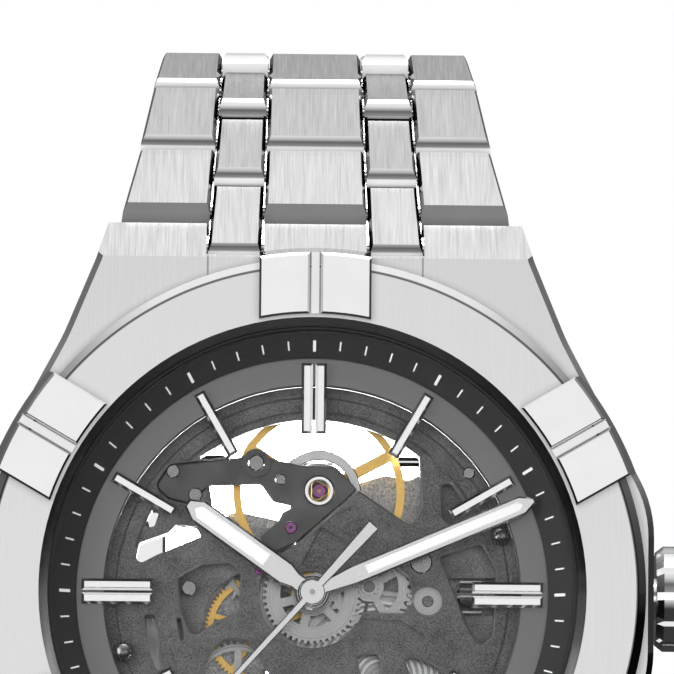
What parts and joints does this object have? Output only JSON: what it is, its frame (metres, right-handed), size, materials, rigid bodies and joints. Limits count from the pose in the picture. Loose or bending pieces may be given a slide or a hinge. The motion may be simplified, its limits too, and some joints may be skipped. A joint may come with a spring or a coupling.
{
  "type": "skeleton wristwatch",
  "caption": "Round skeleton wristwatch in steel with clawed bezel, openworked automatic movement, baton hands and a tapering five-column bracelet with butterfly clasp.",
  "frame": {"origin": "centre of the case back's outer face, on the axis of the hands", "axes": "+Z towards 12 o'clock, +X towards 3 o'clock and the crown, -Y out of the dial"},
  "size_m": [0.0432, 0.0449, 0.068],
  "materials": {
    "case_steel": "vertical brushed, polished edges",
    "bezel_steel": "brushed top, polished bevels and claws",
    "bracelet_steel": "brushed tops, polished rolled edges",
    "clasp_steel": "fine brushed",
    "polished_steel": "mirror polished",
    "sapphire": "clear, coated",
    "flange_black": "satin",
    "dial_grey": "satin sunray",
    "plate_anthracite": "sand-blasted",
    "bridge_anthracite": "sand-blasted",
    "bridge_dark": "fine matt",
    "bridge_grey": "grained",
    "wheel_steel": "circular grained",
    "spring_steel": "polished",
    "screw_steel": "polished",
    "gold_brass": "satin gilt",
    "ruby": "polished",
    "seal_rubber": "matt",
    "rotor_steel": "striped and grained"
  },
  "bodies": {
    "case": {"mid_case": "case_steel", "bezel": "bezel_steel", "crystal": "sapphire", "flange_ring": "flange_black", "dial_ring": "dial_grey", "hour_markers": "polished_steel", "case_back": "case_steel", "back_crystal": "sapphire", "case_seals": "seal_rubber", "main_plate": "plate_anthracite", "dial_bridge": "bridge_anthracite", "balance_bridge": "bridge_dark", "train_bridge": "bridge_grey", "jewels": "ruby", "movement_screws": "screw_steel"},
    "minute_drive": {"center_wheel": "wheel_steel", "cannon_pinion": "wheel_steel", "minute_hand": "polished_steel"},
    "third_wheel": {"third_wheel": "gold_brass"},
    "seconds_drive": {"fourth_wheel": "wheel_steel", "seconds_hand": "polished_steel"},
    "escape_wheel": {"escape_wheel": "wheel_steel"},
    "barrel": {"barrel": "wheel_steel", "mainspring": "spring_steel"},
    "minute_wheel": {"minute_wheel": "wheel_steel"},
    "hour_drive": {"hour_wheel": "wheel_steel", "hour_hand": "polished_steel"},
    "setting_wheel": {"setting_wheel": "wheel_steel"},
    "balance": {"balance_wheel": "gold_brass", "hairspring": "spring_steel"},
    "pallet_fork": {"pallet_fork": "wheel_steel"},
    "rotor": {"rotor": "rotor_steel"},
    "winding_wheel": {"winding_wheel": "wheel_steel"},
    "winding_pinion": {"winding_pinion": "wheel_steel"},
    "crown": {"crown": "polished_steel", "winding_stem": "wheel_steel"},
    "ratchet_wheel": {"ratchet_wheel": "wheel_steel"},
    "link_12_1": {"link_12_1": "bracelet_steel"},
    "link_12_2": {"link_12_2": "bracelet_steel"},
    "link_12_3": {"link_12_3": "bracelet_steel"},
    "link_12_4": {"link_12_4": "bracelet_steel"},
    "link_12_5": {"link_12_5": "bracelet_steel"},
    "link_12_6": {"link_12_6": "bracelet_steel"},
    "link_12_7": {"link_12_7": "bracelet_steel"},
    "link_12_8": {"link_12_8": "bracelet_steel"},
    "cover_12": {"cover_12": "bracelet_steel"},
    "link_6_1": {"link_6_1": "bracelet_steel"},
    "link_6_2": {"link_6_2": "bracelet_steel"},
    "link_6_3": {"link_6_3": "bracelet_steel"},
    "link_6_4": {"link_6_4": "bracelet_steel"},
    "link_6_5": {"link_6_5": "bracelet_steel"},
    "link_6_6": {"link_6_6": "bracelet_steel"},
    "link_6_7": {"link_6_7": "bracelet_steel"},
    "link_6_8": {"link_6_8": "bracelet_steel"},
    "cover_6": {"cover_6": "bracelet_steel"},
    "blade_12": {"blade_12": "clasp_steel"},
    "blade_6": {"blade_6": "clasp_steel"},
    "clasp_plate": {"clasp_plate": "clasp_steel"},
    "button_3": {"button_3": "polished_steel"},
    "button_9": {"button_9": "polished_steel"}
  },
  "joints": [
    {"name": "minute_turn", "type": "hinge", "parent": "case", "child": "minute_drive", "pos_m": [0, -0.004, 0], "axis": [0, 1, 0], "continuous": true},
    {"name": "third_turn", "type": "hinge", "parent": "case", "child": "third_wheel", "pos_m": [-0.003, -0.003, -0.00187], "axis": [0, 1, 0], "continuous": true},
    {"name": "seconds_turn", "type": "hinge", "parent": "case", "child": "seconds_drive", "pos_m": [0, -0.0026, 0], "axis": [0, 1, 0], "continuous": true},
    {"name": "escape_turn", "type": "hinge", "parent": "case", "child": "escape_wheel", "pos_m": [-0.00308, -0.003, 0.00138], "axis": [0, 1, 0], "continuous": true},
    {"name": "barrel_turn", "type": "hinge", "parent": "case", "child": "barrel", "pos_m": [0.00404, -0.0038, -0.0047], "axis": [0, 1, 0], "continuous": true},
    {"name": "minute_wheel_turn", "type": "hinge", "parent": "case", "child": "minute_wheel", "pos_m": [0.0033, -0.005, 0.00052], "axis": [0, 1, 0], "continuous": true},
    {"name": "hour_turn", "type": "hinge", "parent": "case", "child": "hour_drive", "pos_m": [0, -0.0053, 0], "axis": [0, 1, 0], "continuous": true},
    {"name": "setting_wheel_turn", "type": "hinge", "parent": "case", "child": "setting_wheel", "pos_m": [0.0067, -0.005, -0.0003], "axis": [0, 1, 0], "continuous": true},
    {"name": "balance_swing", "type": "hinge", "parent": "case", "child": "balance", "pos_m": [0.00035, -0.0045, 0.006], "axis": [0, 1, 0], "range_deg": [-270, 270]},
    {"name": "pallet_swing", "type": "hinge", "parent": "case", "child": "pallet_fork", "pos_m": [-0.00127, -0.0033, 0.00387], "axis": [0, 1, 0], "range_deg": [-5, 5]},
    {"name": "rotor_turn", "type": "hinge", "parent": "case", "child": "rotor", "pos_m": [0, -0.0016, 0], "axis": [0, 1, 0], "continuous": true},
    {"name": "winding_wheel_turn", "type": "hinge", "parent": "case", "child": "winding_wheel", "pos_m": [-0.00425, -0.0034, -0.0054], "axis": [0, 1, 0], "continuous": true},
    {"name": "crown_turn", "type": "hinge", "parent": "case", "child": "winding_pinion", "pos_m": [0.009, -0.0046, 0], "axis": [1, 0, 0], "continuous": true},
    {"name": "crown_pull", "type": "slide", "parent": "winding_pinion", "child": "crown", "axis": [1, 0, 0], "range_m": [0, 0.0012]},
    {"name": "ratchet_turn", "type": "hinge", "parent": "case", "child": "ratchet_wheel", "pos_m": [0.00404, -0.0027, -0.0047], "axis": [0, 1, 0], "continuous": true},
    {"name": "hinge_12_1", "type": "hinge", "parent": "case", "child": "link_12_1", "pos_m": [0, -0.0062, 0.01986], "axis": [1, 0, 0], "range_deg": [0, 5]},
    {"name": "hinge_12_2", "type": "hinge", "parent": "link_12_1", "child": "link_12_2", "pos_m": [0, -0.00124, 0.02465], "axis": [1, 0, 0], "range_deg": [0, 5]},
    {"name": "hinge_12_3", "type": "hinge", "parent": "link_12_2", "child": "link_12_3", "pos_m": [0, 0.00413, 0.029], "axis": [1, 0, 0], "range_deg": [0, 13]},
    {"name": "hinge_12_4", "type": "hinge", "parent": "link_12_3", "child": "link_12_4", "pos_m": [0, 0.01033, 0.03202], "axis": [1, 0, 0], "range_deg": [0, 22]},
    {"name": "hinge_12_5", "type": "hinge", "parent": "link_12_4", "child": "link_12_5", "pos_m": [0, 0.01721, 0.0325], "axis": [1, 0, 0], "range_deg": [0, 24]},
    {"name": "hinge_12_6", "type": "hinge", "parent": "link_12_5", "child": "link_12_6", "pos_m": [0, 0.02369, 0.03014], "axis": [1, 0, 0], "range_deg": [0, 24]},
    {"name": "hinge_12_7", "type": "hinge", "parent": "link_12_6", "child": "link_12_7", "pos_m": [0, 0.02866, 0.02535], "axis": [1, 0, 0], "range_deg": [0, 20]},
    {"name": "hinge_12_8", "type": "hinge", "parent": "link_12_7", "child": "link_12_8", "pos_m": [0, 0.03168, 0.01915], "axis": [1, 0, 0], "range_deg": [0, 16]},
    {"name": "hinge_12_9", "type": "hinge", "parent": "link_12_8", "child": "cover_12", "pos_m": [0, 0.03288, 0.01235], "axis": [1, 0, 0], "range_deg": [0, 10]},
    {"name": "hinge_6_1", "type": "hinge", "parent": "case", "child": "link_6_1", "pos_m": [0, -0.0062, -0.01986], "axis": [-1, 0, 0], "range_deg": [0, 5]},
    {"name": "hinge_6_2", "type": "hinge", "parent": "link_6_1", "child": "link_6_2", "pos_m": [0, -0.00124, -0.02465], "axis": [-1, 0, 0], "range_deg": [0, 5]},
    {"name": "hinge_6_3", "type": "hinge", "parent": "link_6_2", "child": "link_6_3", "pos_m": [0, 0.00413, -0.029], "axis": [-1, 0, 0], "range_deg": [0, 13]},
    {"name": "hinge_6_4", "type": "hinge", "parent": "link_6_3", "child": "link_6_4", "pos_m": [0, 0.01033, -0.03202], "axis": [-1, 0, 0], "range_deg": [0, 22]},
    {"name": "hinge_6_5", "type": "hinge", "parent": "link_6_4", "child": "link_6_5", "pos_m": [0, 0.01721, -0.0325], "axis": [-1, 0, 0], "range_deg": [0, 24]},
    {"name": "hinge_6_6", "type": "hinge", "parent": "link_6_5", "child": "link_6_6", "pos_m": [0, 0.02369, -0.03014], "axis": [-1, 0, 0], "range_deg": [0, 24]},
    {"name": "hinge_6_7", "type": "hinge", "parent": "link_6_6", "child": "link_6_7", "pos_m": [0, 0.02866, -0.02535], "axis": [-1, 0, 0], "range_deg": [0, 20]},
    {"name": "hinge_6_8", "type": "hinge", "parent": "link_6_7", "child": "link_6_8", "pos_m": [0, 0.03168, -0.01915], "axis": [-1, 0, 0], "range_deg": [0, 16]},
    {"name": "hinge_6_9", "type": "hinge", "parent": "link_6_8", "child": "cover_6", "pos_m": [0, 0.03288, -0.01235], "axis": [-1, 0, 0], "range_deg": [0, 10]},
    {"name": "plate_unfold", "type": "hinge", "parent": "blade_12", "child": "clasp_plate", "pos_m": [0, 0.03046, 0.0109], "axis": [-1, 0, 0], "range_deg": [0, 144]},
    {"name": "blade_12_unfold", "type": "hinge", "parent": "cover_12", "child": "blade_12", "pos_m": [0, 0.03096, 0.0019], "axis": [1, 0, 0], "range_deg": [0, 72]},
    {"name": "blade_6_unfold", "type": "hinge", "parent": "cover_6", "child": "blade_6", "pos_m": [0, 0.03096, -0.0019], "axis": [-1, 0, 0], "range_deg": [0, 72]},
    {"name": "button_3_press", "type": "slide", "parent": "cover_12", "child": "button_3", "axis": [-1, 0, 0], "range_m": [0, 0.0005], "stiffness_N_per_m": 400},
    {"name": "button_9_press", "type": "slide", "parent": "cover_12", "child": "button_9", "axis": [1, 0, 0], "range_m": [0, 0.0005], "stiffness_N_per_m": 400}
  ],
  "couplings": [
    {"joint": "third_turn", "follows": "minute_turn", "ratio": -8},
    {"joint": "seconds_turn", "follows": "minute_turn", "ratio": 60},
    {"joint": "escape_turn", "follows": "minute_turn", "ratio": -720},
    {"joint": "barrel_turn", "follows": "minute_turn", "ratio": -0.13889},
    {"joint": "minute_wheel_turn", "follows": "minute_turn", "ratio": -0.4},
    {"joint": "hour_turn", "follows": "minute_turn", "ratio": 0.083333},
    {"joint": "setting_wheel_turn", "follows": "minute_turn", "ratio": 0.85714},
    {"joint": "winding_wheel_turn", "follows": "rotor_turn", "ratio": -0.1},
    {"joint": "ratchet_turn", "follows": "crown_turn", "ratio": 0.35},
    {"joint": "hinge_12_1", "follows": "hinge_12_5", "ratio": 0.20833},
    {"joint": "hinge_12_2", "follows": "hinge_12_5", "ratio": 0.20833},
    {"joint": "hinge_12_3", "follows": "hinge_12_5", "ratio": 0.54167},
    {"joint": "hinge_12_4", "follows": "hinge_12_5", "ratio": 0.91667},
    {"joint": "hinge_12_6", "follows": "hinge_12_5", "ratio": 1},
    {"joint": "hinge_12_7", "follows": "hinge_12_5", "ratio": 0.83333},
    {"joint": "hinge_12_8", "follows": "hinge_12_5", "ratio": 0.66667},
    {"joint": "hinge_12_9", "follows": "hinge_12_5", "ratio": 0.41667},
    {"joint": "hinge_6_1", "follows": "hinge_6_5", "ratio": 0.20833},
    {"joint": "hinge_6_2", "follows": "hinge_6_5", "ratio": 0.20833},
    {"joint": "hinge_6_3", "follows": "hinge_6_5", "ratio": 0.54167},
    {"joint": "hinge_6_4", "follows": "hinge_6_5", "ratio": 0.91667},
    {"joint": "hinge_6_6", "follows": "hinge_6_5", "ratio": 1},
    {"joint": "hinge_6_7", "follows": "hinge_6_5", "ratio": 0.83333},
    {"joint": "hinge_6_8", "follows": "hinge_6_5", "ratio": 0.66667},
    {"joint": "hinge_6_9", "follows": "hinge_6_5", "ratio": 0.41667},
    {"joint": "blade_12_unfold", "follows": "plate_unfold", "ratio": 0.5},
    {"joint": "blade_6_unfold", "follows": "plate_unfold", "ratio": 0.5}
  ]
}
